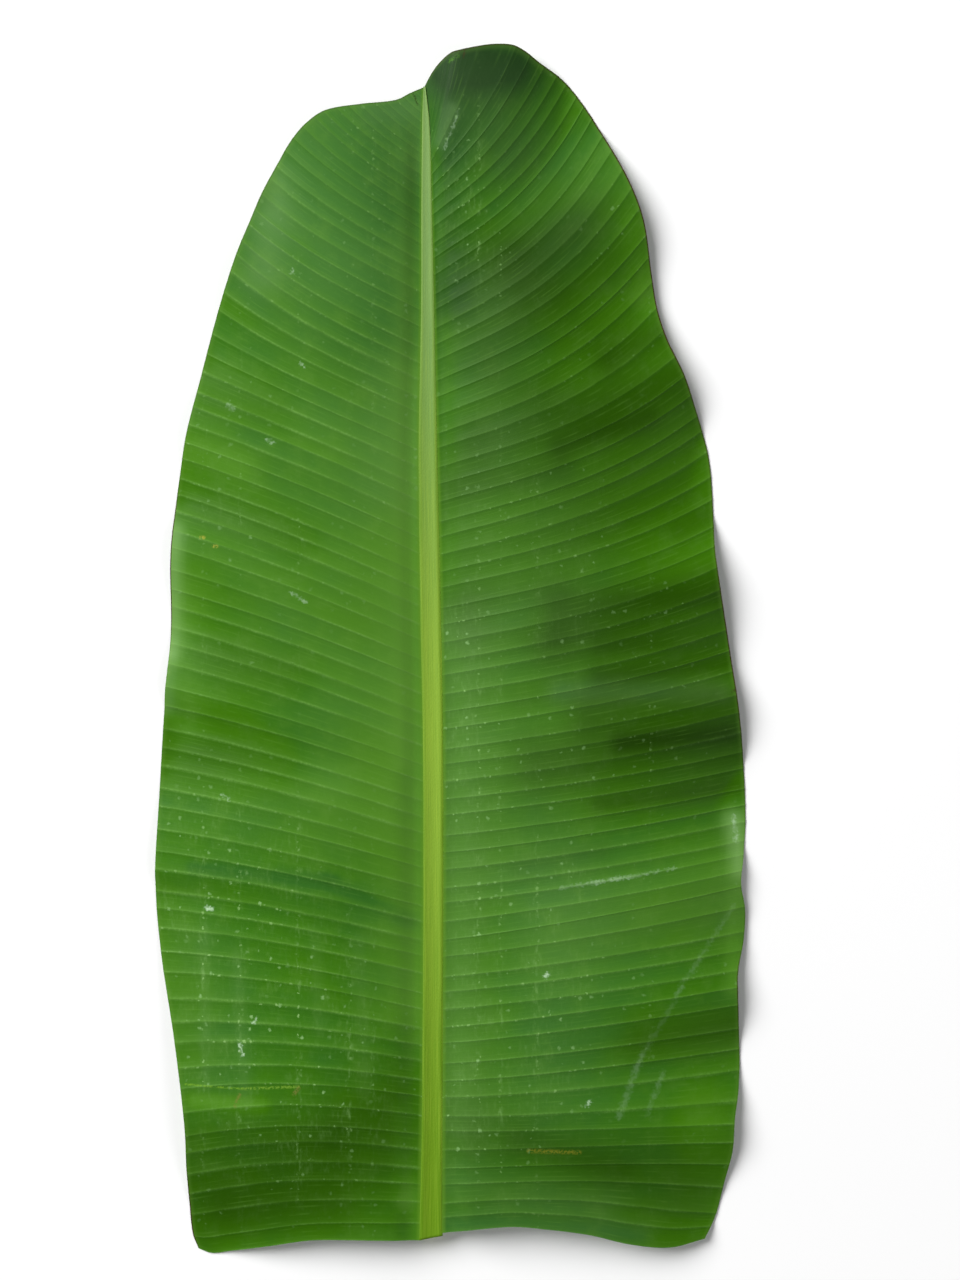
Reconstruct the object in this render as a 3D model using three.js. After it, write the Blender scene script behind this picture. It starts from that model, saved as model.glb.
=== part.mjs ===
// The end of a banana leaf, cut across and lying on the keel of its midrib, with its glossy upper face up.
// The green blade is one pleated body: its two halves part round the midrib and meet again at the tip.
// The paler midrib lies in the slot between them, channelled above and keeled below.
// Millimetres, +Z up and +Y towards the tip. The origin is under the middle of the leaf, where it rests.
import * as THREE from "three";

// Midrib, by distance from the cut end
const MIDRIB_LENGTH = 775;
const LEAF_NOTCH = 781; // where the halves of the blade end beside each other
const MIDRIB_SIDEWAYS = [
  [0, 0],
  [127, 1.4],
  [330, 1.4],
  [431, -0.3],
  [533, -2],
  [617, -2.7],
  [720, -3.4],
  [LEAF_NOTCH, -4.7],
];
const MIDRIB_HALF_WIDTH = [
  [0, 8],
  [90, 6.9],
  [300, 6.2],
  [430, 6.2],
  [560, 5.2],
  [640, 3.7],
  [700, 2.6],
  [LEAF_NOTCH, 1.4],
];
const MIDRIB_DEPTH = [
  [0, 14],
  [200, 11.5],
  [430, 9],
  [640, 5.5],
  [LEAF_NOTCH, 3],
];
const MIDRIB_STATIONS = 40;
const KEEL_FLAT = 0.3; // width of the flat underside, as a share of the midrib's
const CHANNEL_DEPTH = 0.11; // as a share of the midrib's depth
const RAIL_AT = 0.78; // crest of each rail beside the channel, as a share of the half-width
const SHOULDER_DROP = 0.4;
const FLANK_FOOT = 1.7; // foot of the upright flank that the blade grows from, below the rails
const CUT_SLANT = 0.2;

// Blade
const BLADE_THICKNESS = 0.8;
const BLADE_BELOW_RAIL = 1.3; // its underside at the midrib
const SEAM_GAP = 0.3;
const RIBS = 48; // pleats on each half
const PLEAT_HEIGHT = 0.75;
const PLEAT_START = 0.1; // share of a vein's length over which a pleat grows out of the smooth seam
const COLUMNS = 9; // from the midrib to the margin
const TIP_ROOTS = [777.5, 779.5]; // rows past the midrib's end, where the halves are one
const FLOOR_BLEND = 2; // how gently the underside meets the surface it lies on
const FULL_VEIN = 90; // veins shorter than this have lower pleats, waves and crest

// Guide veins of each half: where a vein leaves the midrib, how far out and how far up it meets the margin,
// how evenly it climbs (1 is straight, less turns up towards the margin), and how much it arches
const RIGHT_VEINS = [
  [0, 186, -2, 1, 0],
  [22, 194, 14, 1, 6.8],
  [40, 200, 38, 1, 5.4],
  [53, 204.5, 57, 1, 3],
  [75, 206, 80, 1, 1],
  [87, 209, 100, 1, 0],
  [101, 210, 120, 1, 0],
  [140, 208, 167, 1, 0],
  [155, 208.5, 181, 0.97, 0],
  [172, 212.5, 201, 0.95, 0],
  [188, 213.5, 221, 0.93, 0],
  [203, 210.5, 239, 0.92, 0],
  [226, 212.5, 258, 0.9, 0],
  [250, 214, 282, 0.88, 0],
  [296, 212, 328, 0.83, 0],
  [347, 204.5, 387, 0.76, 0],
  [408, 193, 460, 0.66, 0],
  [434, 192, 492, 0.63, 0],
  [455, 190, 522, 0.61, 0],
  [468, 186.5, 540, 0.6, 0],
  [494, 178, 566, 0.58, 0],
  [512, 171, 585, 0.57, 0],
  [530, 160.5, 607, 0.56, 0],
  [543, 154, 628, 0.55, 0],
  [559, 150, 651, 0.55, 0],
  [588, 144, 689, 0.55, 0],
  [612, 132.5, 719, 0.55, 0],
  [647, 112.5, 755.5, 0.57, 0],
  [676, 98, 776.5, 0.6, 0],
  [690, 88.5, 786.5, 0.62, 0],
  [706, 74, 796, 0.65, 0],
  [721, 57, 807, 0.7, 0],
  [727, 42, 808, 0.75, 0],
  [734, 20, 804.5, 0.8, 0],
  [744, 12, 802, 0.85, 0],
  [756, 4, 795, 0.9, 0],
  [769, -1, 788, 0.95, 0],
  [LEAF_NOTCH, -4.7, LEAF_NOTCH, 1, 0],
];
const LEFT_VEINS = [
  [0, 158.5, -9.5, 1, 0],
  [13.5, 162.5, 1, 1, 4],
  [30, 164.5, 20, 1, 7.5],
  [49, 166, 44, 1, 8.8],
  [76, 167, 76, 1, 8.2],
  [120, 174, 132, 1, 7],
  [163, 183.5, 190, 1, 6],
  [200, 187.5, 233, 1, 5],
  [241, 186, 281, 1, 4.4],
  [310, 181.5, 361.5, 1, 4],
  [347, 177.5, 405, 1, 3.7],
  [394, 177, 456, 1, 3.4],
  [422, 175, 487, 1, 3.2],
  [465, 169, 530, 1, 2.6],
  [496, 162.5, 560, 1, 2],
  [546, 149, 614, 0.85, 1],
  [586, 134.5, 660, 0.75, 0],
  [615, 125, 686, 0.75, 0],
  [641, 115.5, 709, 0.77, 0],
  [664, 104.5, 729, 0.79, 0],
  [681, 95.5, 743.5, 0.8, 0],
  [697, 85, 755.5, 0.8, 0],
  [714, 71.5, 764.5, 0.8, 0],
  [736, 48, 769, 0.8, 0],
  [756, 24.5, 772, 0.85, 0],
  [769, 14, 777, 0.9, 0],
  [LEAF_NOTCH, 4.7, LEAF_NOTCH, 1, 0],
];

// Waved line of the cut across each half: share of the way to the margin, lift off a straight cut
const CUT_FADE = 45; // the veins follow the cut's waves this far up
const RIGHT_CUT = [
  [0, 3.5],
  [0.25, 9.8],
  [0.4, 8.4],
  [0.56, 4.6],
  [0.71, -2],
  [0.865, -5],
  [1, 0],
];
const LEFT_CUT = [
  [0, -1.5],
  [0.31, 2.7],
  [0.49, 3.7],
  [0.67, 0.5],
  [0.85, -2.7],
  [0.94, -3.9],
  [1, 0],
];

// Form: the crest that each half rises to beside the midrib, and the height its margin hangs at
const CREST_AT = 0.85; // exponent that draws the crest towards the midrib
const RIGHT_CREST = [
  [0, 13],
  [250, 19],
  [560, 17],
  [LEAF_NOTCH, 6],
];
const LEFT_CREST = [
  [0, 11],
  [250, 14],
  [560, 12],
  [LEAF_NOTCH, 4],
];
const MARGIN_HEIGHT = 4;
// Crests and troughs of the waves that run out along the veins, by where the vein leaves the midrib
const WAVE_GROWTH = 1.6; // exponent of the waves' growth towards the margin
const RIGHT_WAVES = [
  [0, 4],
  [24, -6],
  [70, 7],
  [101, -4],
  [140, 7],
  [180, -1],
  [207, 3],
  [260, -11],
  [329, 8],
  [350, 3],
  [398, 11],
  [448, -9],
  [520, 11],
  [549, 2],
  [599, 10],
  [665, -8],
  [728, 9],
  [LEAF_NOTCH, 0],
];
const LEFT_WAVES = [
  [0, -10],
  [78, 8],
  [198, -4],
  [214, 2],
  [298, -8],
  [320, 2],
  [358, -4],
  [400, 4],
  [440, -6],
  [485, 4],
  [530, -5],
  [585, 4],
  [640, -6],
  [700, 3],
  [LEAF_NOTCH, 0],
];

const SIDES = {
  right: { sign: 1, veins: RIGHT_VEINS, cut: RIGHT_CUT, crest: RIGHT_CREST, waves: RIGHT_WAVES },
  left: { sign: -1, veins: LEFT_VEINS, cut: LEFT_CUT, crest: LEFT_CREST, waves: LEFT_WAVES },
};

// Index of the table row that a place follows
function rowBefore(table, at) {
  let row = 0;
  while (row < table.length - 2 && table[row + 1][0] <= at) row += 1;
  return row;
}

// Slope of a column at one row, from the rows beside it
function slopeAt(table, column, row) {
  const before = table[Math.max(row - 1, 0)];
  const after = table[Math.min(row + 1, table.length - 1)];
  return (after[column] - before[column]) / (after[0] - before[0]);
}

// Smooth curve through a table's rows
function smooth(table, at, column = 1) {
  const row = rowBefore(table, at);
  const [start, end] = [table[row], table[row + 1]];
  const span = end[0] - start[0];
  const t = Math.min(Math.max((at - start[0]) / span, 0), 1);
  const ease = t * t * (3 - 2 * t);
  const leaving = slopeAt(table, column, row) * span * t * (1 - t) * (1 - t);
  const arriving = slopeAt(table, column, row + 1) * span * t * t * (1 - t);
  return start[column] + (end[column] - start[column]) * ease + leaving - arriving;
}

// Wave through a table's crests and troughs, level at each of them
function wave(table, at) {
  const row = rowBefore(table, at);
  const [start, end] = [table[row], table[row + 1]];
  const t = THREE.MathUtils.smoothstep(at, start[0], end[0]);
  return start[1] + (end[1] - start[1]) * t;
}

// Height held level where it would pass below the surface that the leaf lies on
function restOnFloor(height) {
  if (height >= FLOOR_BLEND) return height;
  if (height <= -FLOOR_BLEND) return 0;
  return (height + FLOOR_BLEND) ** 2 / (4 * FLOOR_BLEND);
}

// Distance of the blade's inner edge from the middle of the midrib
function seamOffset(root) {
  return root > MIDRIB_LENGTH + SEAM_GAP ? 0 : smooth(MIDRIB_HALF_WIDTH, root) + SEAM_GAP;
}

// Point under the blade: root is where its vein leaves the midrib, out runs from 0 there to 1 at the margin,
// and pleat is 1 on a rib and -1 between two ribs
function bladePoint(side, root, out, pleat) {
  const { sign, veins, cut, crest, waves } = side;
  const innerX = smooth(MIDRIB_SIDEWAYS, root) + sign * seamOffset(root);
  const endX = sign * smooth(veins, root, 1);
  const climb = smooth(veins, root, 2) - root;
  const evenness = smooth(veins, root, 3);
  const arch = smooth(veins, root, 4) * 4 * out * (1 - out);
  const cutShare = Math.max(1 - root / CUT_FADE, 0) ** 2;
  const x = innerX + (endX - innerX) * out;
  const y = root + climb * (evenness * out + (1 - evenness) * out ** 3) + arch + smooth(cut, out) * cutShare;

  const length = Math.hypot(endX - innerX, climb);
  const fullness = THREE.MathUtils.smoothstep(length, 0, FULL_VEIN);
  const seam = smooth(MIDRIB_DEPTH, root) - BLADE_BELOW_RAIL;
  const along = out ** CREST_AT;
  const bow = smooth(crest, root) * 4 * along * (1 - along);
  const ripple = wave(waves, root) * out ** WAVE_GROWTH;
  const fold = pleat * PLEAT_HEIGHT * THREE.MathUtils.smoothstep(out, 0, PLEAT_START);
  const hang = (MARGIN_HEIGHT - seam) * out;
  return new THREE.Vector3(x, y, restOnFloor(seam + fullness * (hang + bow + ripple + fold)));
}

// Closed geometry from a list of points and triangles, which share their points
function solidGeometry(points, triangles) {
  const geometry = new THREE.BufferGeometry().setFromPoints(points);
  geometry.setIndex(triangles.flat());
  geometry.computeVertexNormals();
  return geometry;
}

// Both halves of the blade, as one body with the same triangles on its upper face and its underside
function bladeGeometry() {
  const slotEnd = MIDRIB_LENGTH + SEAM_GAP;
  const ribRoots = Array.from({ length: 2 * RIBS + 1 }, (_, row) => (slotEnd * row) / (2 * RIBS));
  const roots = [...ribRoots, ...TIP_ROOTS, LEAF_NOTCH];
  const points = [];
  const places = new Map();

  // Number of the point on the underside; the point above it has the next number
  function pointNumber(point) {
    const key = point.toArray().map((value) => value.toFixed(3)).join(" ");
    if (!places.has(key)) {
      places.set(key, points.length);
      points.push(point, point.clone().setZ(point.z + BLADE_THICKNESS));
    }
    return places.get(key);
  }

  const triangles = [];
  const edges = new Map();

  // One triangle of the sheet, seen from above, on both faces; an edge met twice is inside the sheet
  function addTriangle(a, b, c) {
    if (a === b || b === c || c === a) return;
    triangles.push([a + 1, b + 1, c + 1], [a, c, b]);
    [[a, b], [b, c], [c, a]].forEach(([from, to]) => {
      if (!edges.delete(to + " " + from)) edges.set(from + " " + to, [from, to]);
    });
  }

  Object.values(SIDES).forEach((side) => {
    const grid = roots.map((root, row) =>
      Array.from({ length: COLUMNS }, (_, column) => {
        const pleat = row < ribRoots.length ? 1 - 2 * (row % 2) : 0;
        return pointNumber(bladePoint(side, root, column / (COLUMNS - 1), pleat));
      }),
    );
    grid.slice(1).forEach((upper, row) => {
      const lower = grid[row];
      for (let column = 1; column < COLUMNS; column += 1) {
        const corners = [lower[column - 1], lower[column], upper[column], upper[column - 1]];
        const [a, b, c, d] = side.sign > 0 ? corners : [corners[1], corners[0], corners[3], corners[2]];
        addTriangle(a, b, c);
        addTriangle(a, c, d);
      }
    });
  });

  // The rim of the sheet: margins, cut and slot
  edges.forEach(([from, to]) => {
    triangles.push([from, to, to + 1], [from, to + 1, from + 1]);
  });
  return solidGeometry(points, triangles);
}

// Section of the midrib, from the middle of the channel round its right side to the flat of the keel
function midribHalfSection(halfWidth, depth) {
  const foot = depth - FLANK_FOOT;
  const keel = [30, 60, 90].map((degrees) => {
    const turn = THREE.MathUtils.degToRad(degrees);
    const across = KEEL_FLAT + (1 - KEEL_FLAT) * Math.cos(turn);
    return [halfWidth * across, foot * (1 - Math.sin(turn))];
  });
  return [
    [0, depth * (1 - CHANNEL_DEPTH)],
    [halfWidth * RAIL_AT * 0.6, depth * (1 - CHANNEL_DEPTH * 0.7)],
    [halfWidth * RAIL_AT, depth],
    [halfWidth, depth - SHOULDER_DROP],
    [halfWidth, foot],
    ...keel,
  ];
}

function midribGeometry() {
  const points = [];
  const triangles = [];
  const rings = [];
  const hubs = [];
  for (let station = 0; station <= MIDRIB_STATIONS; station += 1) {
    const along = (MIDRIB_LENGTH * station) / MIDRIB_STATIONS;
    const depth = smooth(MIDRIB_DEPTH, along);
    const half = midribHalfSection(smooth(MIDRIB_HALF_WIDTH, along), depth);
    const mirrored = half.slice(1).reverse().map(([x, z]) => [-x, z]);
    const slant = station === 0 ? CUT_SLANT : 0;
    const middle = smooth(MIDRIB_SIDEWAYS, along);
    const place = ([x, z]) => points.push(new THREE.Vector3(middle + x, along + slant * x, z)) - 1;
    rings.push([...half, ...mirrored].map(place));
    if (station === 0 || station === MIDRIB_STATIONS) hubs.push(place([0, depth / 2]));
  }
  const sides = rings[0].length;
  for (let corner = 0; corner < sides; corner += 1) {
    const next = (corner + 1) % sides;
    rings.slice(1).forEach((ring, station) => {
      const last = rings[station];
      triangles.push([last[corner], ring[next], ring[corner]], [last[corner], last[next], ring[next]]);
    });
    triangles.push([hubs[0], rings[0][next], rings[0][corner]]);
    triangles.push([hubs[1], rings.at(-1)[corner], rings.at(-1)[next]]);
  }
  return solidGeometry(points, triangles);
}

const bladeGreen = new THREE.MeshStandardMaterial({ color: 0x3f7a1f, roughness: 0.5, metalness: 0 });
const midribGreen = new THREE.MeshStandardMaterial({ color: 0x86b044, roughness: 0.5, metalness: 0 });

const blade = new THREE.Mesh(bladeGeometry(), bladeGreen);
blade.name = "blade";
const midrib = new THREE.Mesh(midribGeometry(), midribGreen);
midrib.name = "midrib";

const leaf = new THREE.Group();
leaf.add(blade, midrib);
const middle = new THREE.Box3().setFromObject(leaf).getCenter(new THREE.Vector3());
leaf.children.forEach((mesh) => mesh.position.set(-middle.x, -middle.y, 0));

export default leaf;
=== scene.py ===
import math

import bmesh
import bpy
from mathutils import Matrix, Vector


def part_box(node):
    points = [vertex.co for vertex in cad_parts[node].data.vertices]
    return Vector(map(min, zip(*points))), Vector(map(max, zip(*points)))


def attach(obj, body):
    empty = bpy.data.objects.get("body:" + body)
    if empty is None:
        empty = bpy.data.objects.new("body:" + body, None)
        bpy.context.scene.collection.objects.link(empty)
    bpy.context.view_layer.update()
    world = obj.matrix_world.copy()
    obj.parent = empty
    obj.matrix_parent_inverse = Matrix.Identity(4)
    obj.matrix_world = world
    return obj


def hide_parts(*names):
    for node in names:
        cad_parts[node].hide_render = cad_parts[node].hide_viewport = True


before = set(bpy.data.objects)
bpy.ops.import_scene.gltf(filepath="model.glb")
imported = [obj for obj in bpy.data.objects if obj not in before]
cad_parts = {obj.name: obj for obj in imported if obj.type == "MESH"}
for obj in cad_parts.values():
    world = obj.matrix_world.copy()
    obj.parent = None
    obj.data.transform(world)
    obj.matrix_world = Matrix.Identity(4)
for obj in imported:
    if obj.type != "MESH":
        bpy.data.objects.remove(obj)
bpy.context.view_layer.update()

# The midrib is the leaf's pale spine, grown in one with the blade and cut across at the leaf's lower end. It
# is faintly channelled above, between two low rails, and keeled below, and thins to a thread at the notch of
# the tip. It is soft, fibrous tissue, and its long air canals show as pores in the cut.

MM = 0.001
LEAF_NOTCH = 781
# Rows start with a distance along the midrib from the cut, and all lengths in tables are in mm
MIDRIB_SIDEWAYS = [
    (0, 0),
    (127, 1.2),
    (330, 1.4),
    (431, -0.4),
    (533, -2.1),
    (632, -2.4),
    (700, -3.1),
    (756, -3.6),
    (LEAF_NOTCH, -4.6),
]
MIDRIB_HALF_WIDTH = [
    (0, 8),
    (60, 7.4),
    (130, 7),
    (330, 6.9),
    (431, 7),
    (533, 6.3),
    (632, 4.4),
    (700, 3.5),
    (756, 2.5),
    (LEAF_NOTCH, 0.7),
]
MIDRIB_DEPTH = [
    (0, 14),
    (200, 11.5),
    (430, 9),
    (640, 5.5),
    (LEAF_NOTCH, 3),
]
CUT_SLANT = 0.2
# Where the middle of the cut end lies, in mm: the midrib's solid is widest there
cut_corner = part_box("midrib")[0] / MM
cut_half_width = MIDRIB_HALF_WIDTH[0][1]
CUT_PLACE = Vector((cut_corner.x + cut_half_width, cut_corner.y + CUT_SLANT * cut_half_width, 0))


def smooth(table, at, column=1):
    """Smooth curve through the rows of a table, at a distance along it."""
    row = 0
    while row < len(table) - 2 and table[row + 1][0] <= at:
        row += 1

    def slope(at_row):
        before, after = table[max(at_row - 1, 0)], table[min(at_row + 1, len(table) - 1)]
        return (after[column] - before[column]) / (after[0] - before[0])

    start, end = table[row], table[row + 1]
    span = end[0] - start[0]
    t = min(max((at - start[0]) / span, 0), 1)
    ease = t * t * (3 - 2 * t)
    bend = slope(row) * (1 - t) - slope(row + 1) * t
    return start[column] + (end[column] - start[column]) * ease + bend * span * t * (1 - t)


def ease_between(value, low, high):
    """0 up to low, 1 from high, and a smooth step between them."""
    t = min(max((value - low) / (high - low), 0), 1)
    return t * t * (3 - 2 * t)


MIDRIB_ROUND = 72
MIDRIB_STATIONS = 420
CUT_RINGS = 8
TIP_RINGS = 3
MERGE_WITHIN = 0.01 * MM
# The hollow of the cut face, and how far up the leaf the slant of the cut is felt
CUT_DISH = 0.4
SLANT_FADE = 40
# The section is drawn in shares of the midrib's half width and depth, with the upper face first
TOP_SHARE = 0.36
CHANNEL_DEPTH = 0.04
RAIL_AT = 0.78
RAIL_WIDTH = 0.16
RAIL_HEIGHT = 0.008
SHOULDER_DROP = 0.03
KEEL_FLAT = 0.3
KEEL_FLAT_FROM = 1.45


def midrib_section(turn, half_width, depth):
    """Point of the midrib's section at a turn from 0, the middle of the channel, clockwise to 1."""
    side = 1 if turn < 0.5 else -1
    way = 2 * min(turn, 1 - turn)
    if way < TOP_SHARE:
        across = math.sin(way / TOP_SHARE * math.pi / 2)
        rail = math.exp(-(((across - RAIL_AT) / RAIL_WIDTH) ** 2))
        channel = CHANNEL_DEPTH * (1 - ease_between(across, 0.1, RAIL_AT))
        shoulder = SHOULDER_DROP * ease_between(across, RAIL_AT, 1.05)
        x = half_width * across
        z = depth * (1 - channel - shoulder) + RAIL_HEIGHT * depth * rail
    else:
        angle = (way - TOP_SHARE) / (1 - TOP_SHARE) * math.pi / 2
        fullness = 1 - 0.06 * math.sin(2 * angle) ** 2
        x = half_width * (KEEL_FLAT * math.sin(angle) ** 6 + math.cos(angle) ** 0.8) * fullness
        x = min(x, half_width)
        if angle > KEEL_FLAT_FROM:
            x = half_width * KEEL_FLAT * (math.pi / 2 - angle) / (math.pi / 2 - KEEL_FLAT_FROM)
        fall = math.sin(min(angle / KEEL_FLAT_FROM, 1) * math.pi / 2) ** 1.15
        z = depth * (1 - SHOULDER_DROP) * (1 - fall)
    return side * x, z


def into_piece(name, shape):
    """The finished shape as an object of that name, shaded smooth."""
    for face in shape.faces:
        face.smooth = True
    mesh = bpy.data.meshes.new(name)
    shape.to_mesh(mesh)
    shape.free()
    piece = bpy.data.objects.new(name, mesh)
    bpy.context.collection.objects.link(piece)
    return piece


def make_midrib():
    """A grid wrapped round the midrib: rings over the cut, sections all along, and rings over the tip."""
    shape = bmesh.new()
    rows = CUT_RINGS + MIDRIB_STATIONS + TIP_RINGS
    bmesh.ops.create_grid(shape, x_segments=MIDRIB_ROUND, y_segments=rows, size=1)
    across_layer = shape.verts.layers.float.new("across")
    along_layer = shape.verts.layers.float.new("along")
    cut_layer = shape.verts.layers.float.new("cut")
    for point in shape.verts:
        turn = (point.co.x + 1) / 2
        row = round((point.co.y + 1) / 2 * rows)
        station = min(max(row - CUT_RINGS, 0), MIDRIB_STATIONS)
        along = LEAF_NOTCH * station / MIDRIB_STATIONS
        half_width, depth = smooth(MIDRIB_HALF_WIDTH, along), smooth(MIDRIB_DEPTH, along)
        x, z = midrib_section(turn, half_width, depth)
        size = 1
        if row < CUT_RINGS:
            size = row / CUT_RINGS
        if row > CUT_RINGS + MIDRIB_STATIONS:
            size = (rows - row) / TIP_RINGS
        hub = 0.5 * depth
        x, z = x * size, hub + (z - hub) * size
        y = along + CUT_SLANT * x * (1 - ease_between(along, 0, SLANT_FADE))
        if row < CUT_RINGS:
            y += CUT_DISH * ease_between(1 - size, 0, 0.6)
        point[across_layer] = x / half_width
        point[along_layer] = along
        point[cut_layer] = 1 if row < CUT_RINGS else 0
        sideways = smooth(MIDRIB_SIDEWAYS, along)
        point.co = (CUT_PLACE + Vector((sideways + x, y, max(z, 0)))) * MM
    bmesh.ops.remove_doubles(shape, verts=shape.verts, dist=MERGE_WITHIN)
    bmesh.ops.recalc_face_normals(shape, faces=shape.faces)
    return into_piece("leaf_midrib", shape)


def shade(tree, kind, inputs=None, **settings):
    """One shader node. An input is a plain value or another node's socket."""
    made = tree.nodes.new(kind)
    for name, value in settings.items():
        setattr(made, name, value)
    for name, value in (inputs or {}).items():
        if isinstance(value, bpy.types.NodeSocket):
            tree.links.new(value, made.inputs[name])
        else:
            made.inputs[name].default_value = value
    return made


def reckon(tree, operation, first, second=0.0, third=0.0):
    """A sum on values that vary over the surface."""
    return shade(tree, "ShaderNodeMath", {0: first, 1: second, 2: third}, operation=operation).outputs[0]


def flat(tree, first, second):
    """A place on a flat pattern, from its two coordinates."""
    return shade(tree, "ShaderNodeCombineXYZ", {0: first, 1: second}).outputs[0]


def between(tree, value, low, high, start=0.0, end=1.0):
    """Smooth step of a value, from start at low to end at high."""
    inputs = {"Value": value, "From Min": low, "From Max": high, "To Min": start, "To Max": end}
    return shade(tree, "ShaderNodeMapRange", inputs, interpolation_type="SMOOTHSTEP").outputs[0]


def tint(tree, share, under, over):
    """Colour over colour, by a share from 0 to 1."""
    return shade(tree, "ShaderNodeMix", {0: share, 6: under, 7: over}, data_type="RGBA").outputs[2]


def cloud(tree, where, scale, detail=2.0, roughness=0.5):
    """Soft, cloudy variation from 0 to 1."""
    inputs = {"Vector": where, "Scale": scale, "Detail": detail, "Roughness": roughness}
    return shade(tree, "ShaderNodeTexNoise", inputs).outputs["Fac"]


def drawn(tree, name):
    """A value that each point of the mesh carries under that name."""
    return shade(tree, "ShaderNodeAttribute", attribute_name=name).outputs["Fac"]


def place(tree):
    """Where the surface lies on the piece, in metres."""
    return shade(tree, "ShaderNodeTexCoord").outputs["Object"]


def finish_surface(tree, colour, roughness, height, distance, **sockets):
    """The surface shader with its colour, roughness and fine relief; sockets are the same all over."""
    bump = shade(tree, "ShaderNodeBump", {"Height": height, "Distance": distance, "Strength": 1.0})
    inputs = {"Base Color": colour, "Roughness": roughness, "Normal": bump.outputs[0]}
    surface = shade(tree, "ShaderNodeBsdfPrincipled", inputs)
    for name, value in sockets.items():
        surface.inputs[name.replace("_", " ")].default_value = value
    output = shade(tree, "ShaderNodeOutputMaterial")
    tree.links.new(surface.outputs[0], output.inputs[0])


def new_material(name):
    """A material with an empty node tree."""
    material = bpy.data.materials.new(name)
    material.use_nodes = True
    material.node_tree.nodes.clear()
    return material, material.node_tree


def hue(red, green, blue):
    """A colour seen as 0 to 255, as the light that it gives back."""
    lit = [(c / 255 / 12.92) if c < 11 else ((c / 255 + 0.055) / 1.055) ** 2.4 for c in (red, green, blue)]
    return (*lit, 1.0)


CROWN_BASE = hue(88, 130, 6)
CROWN_MIDDLE = hue(128, 164, 50)
CROWN_UPPER = hue(98, 139, 72)
CROWN_TIP = hue(88, 131, 66)
FLANK_BASE = hue(78, 122, 4)
FLANK_UPPER = hue(92, 132, 18)
SHOULDER_GREEN = hue(82, 128, 24)
KEEL_GREEN = hue(150, 182, 110)
LIGHT_FIBRE = hue(172, 200, 70)
DARK_FIBRE = hue(96, 138, 30)
PITH = hue(186, 200, 124)
PALE_PITH = hue(208, 216, 158)
PORE = hue(116, 138, 66)
PORE_SPACING = 1.5


def midrib_flesh():
    """Pale, fibrous skin, darker towards both ends and down its flanks, and pith with pores in the cut."""
    material, tree = new_material("midrib_flesh")
    across, along, cut = drawn(tree, "across"), drawn(tree, "along"), drawn(tree, "cut")
    where = place(tree)
    off_middle = reckon(tree, "ABSOLUTE", across)
    crown = tint(tree, between(tree, along, 330, 680), CROWN_MIDDLE, CROWN_UPPER)
    crown = tint(tree, between(tree, along, 640, 710), crown, CROWN_TIP)
    crown = tint(tree, between(tree, along, 370, 0), crown, CROWN_BASE)
    flank = tint(tree, between(tree, along, 0, 500), FLANK_BASE, FLANK_UPPER)
    colour = tint(tree, between(tree, off_middle, 0.5, 0.9, 0.0, 0.6), crown, flank)
    colour = tint(tree, between(tree, off_middle, 0.88, 1.0, 0.0, 0.6), colour, SHOULDER_GREEN)
    fibre_place = flat(tree, reckon(tree, "MULTIPLY", across, 9.0), reckon(tree, "MULTIPLY", along, 0.012))
    fibres = cloud(tree, fibre_place, 1.6, 4.0, 0.6)
    colour = tint(tree, between(tree, fibres, 0.35, 0.75, 0.0, 0.28), colour, LIGHT_FIBRE)
    colour = tint(tree, between(tree, fibres, 0.5, 0.25, 0.0, 0.3), colour, DARK_FIBRE)
    height_above = shade(tree, "ShaderNodeSeparateXYZ", {0: where}).outputs[2]
    colour = tint(tree, between(tree, height_above, 0.008, 0.003, 0.0, 0.4), colour, KEEL_GREEN)
    canals = {"Vector": where, "Scale": 1 / (PORE_SPACING * MM), "Randomness": 0.6}
    off_canal = shade(tree, "ShaderNodeTexVoronoi", canals).outputs["Distance"]
    pores = between(tree, off_canal, 0.5, 0.26)
    pulp = tint(tree, between(tree, cloud(tree, where, 300.0), 0.35, 0.65), PITH, PALE_PITH)
    pulp = tint(tree, reckon(tree, "MULTIPLY", pores, 0.7), pulp, PORE)
    colour = tint(tree, between(tree, cut, 0.2, 0.9), colour, pulp)
    relief = reckon(tree, "MULTIPLY_ADD", fibres, 0.8, cloud(tree, where, 900.0))
    relief = reckon(tree, "MULTIPLY_ADD", reckon(tree, "MULTIPLY", pores, cut), -3.0, relief)
    rough = between(tree, fibres, 0.2, 0.8, 0.52, 0.4)
    finish_surface(tree, colour, rough, relief, 0.15 * MM, Specular_IOR_Level=0.12)
    return material


leaf_midrib = make_midrib()
leaf_midrib.data.materials.append(midrib_flesh())
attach(leaf_midrib, "root")
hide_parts("midrib")

# The two halves of the blade grow out of the midrib's shoulders. Each is one thin, leathery sheet with a
# glossy upper face and a paler, waxy underside. Parallel veins run from the midrib to the margin, and the
# sheet hangs slack between them, bows up beside the midrib and droops to the ground in long waves.

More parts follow.
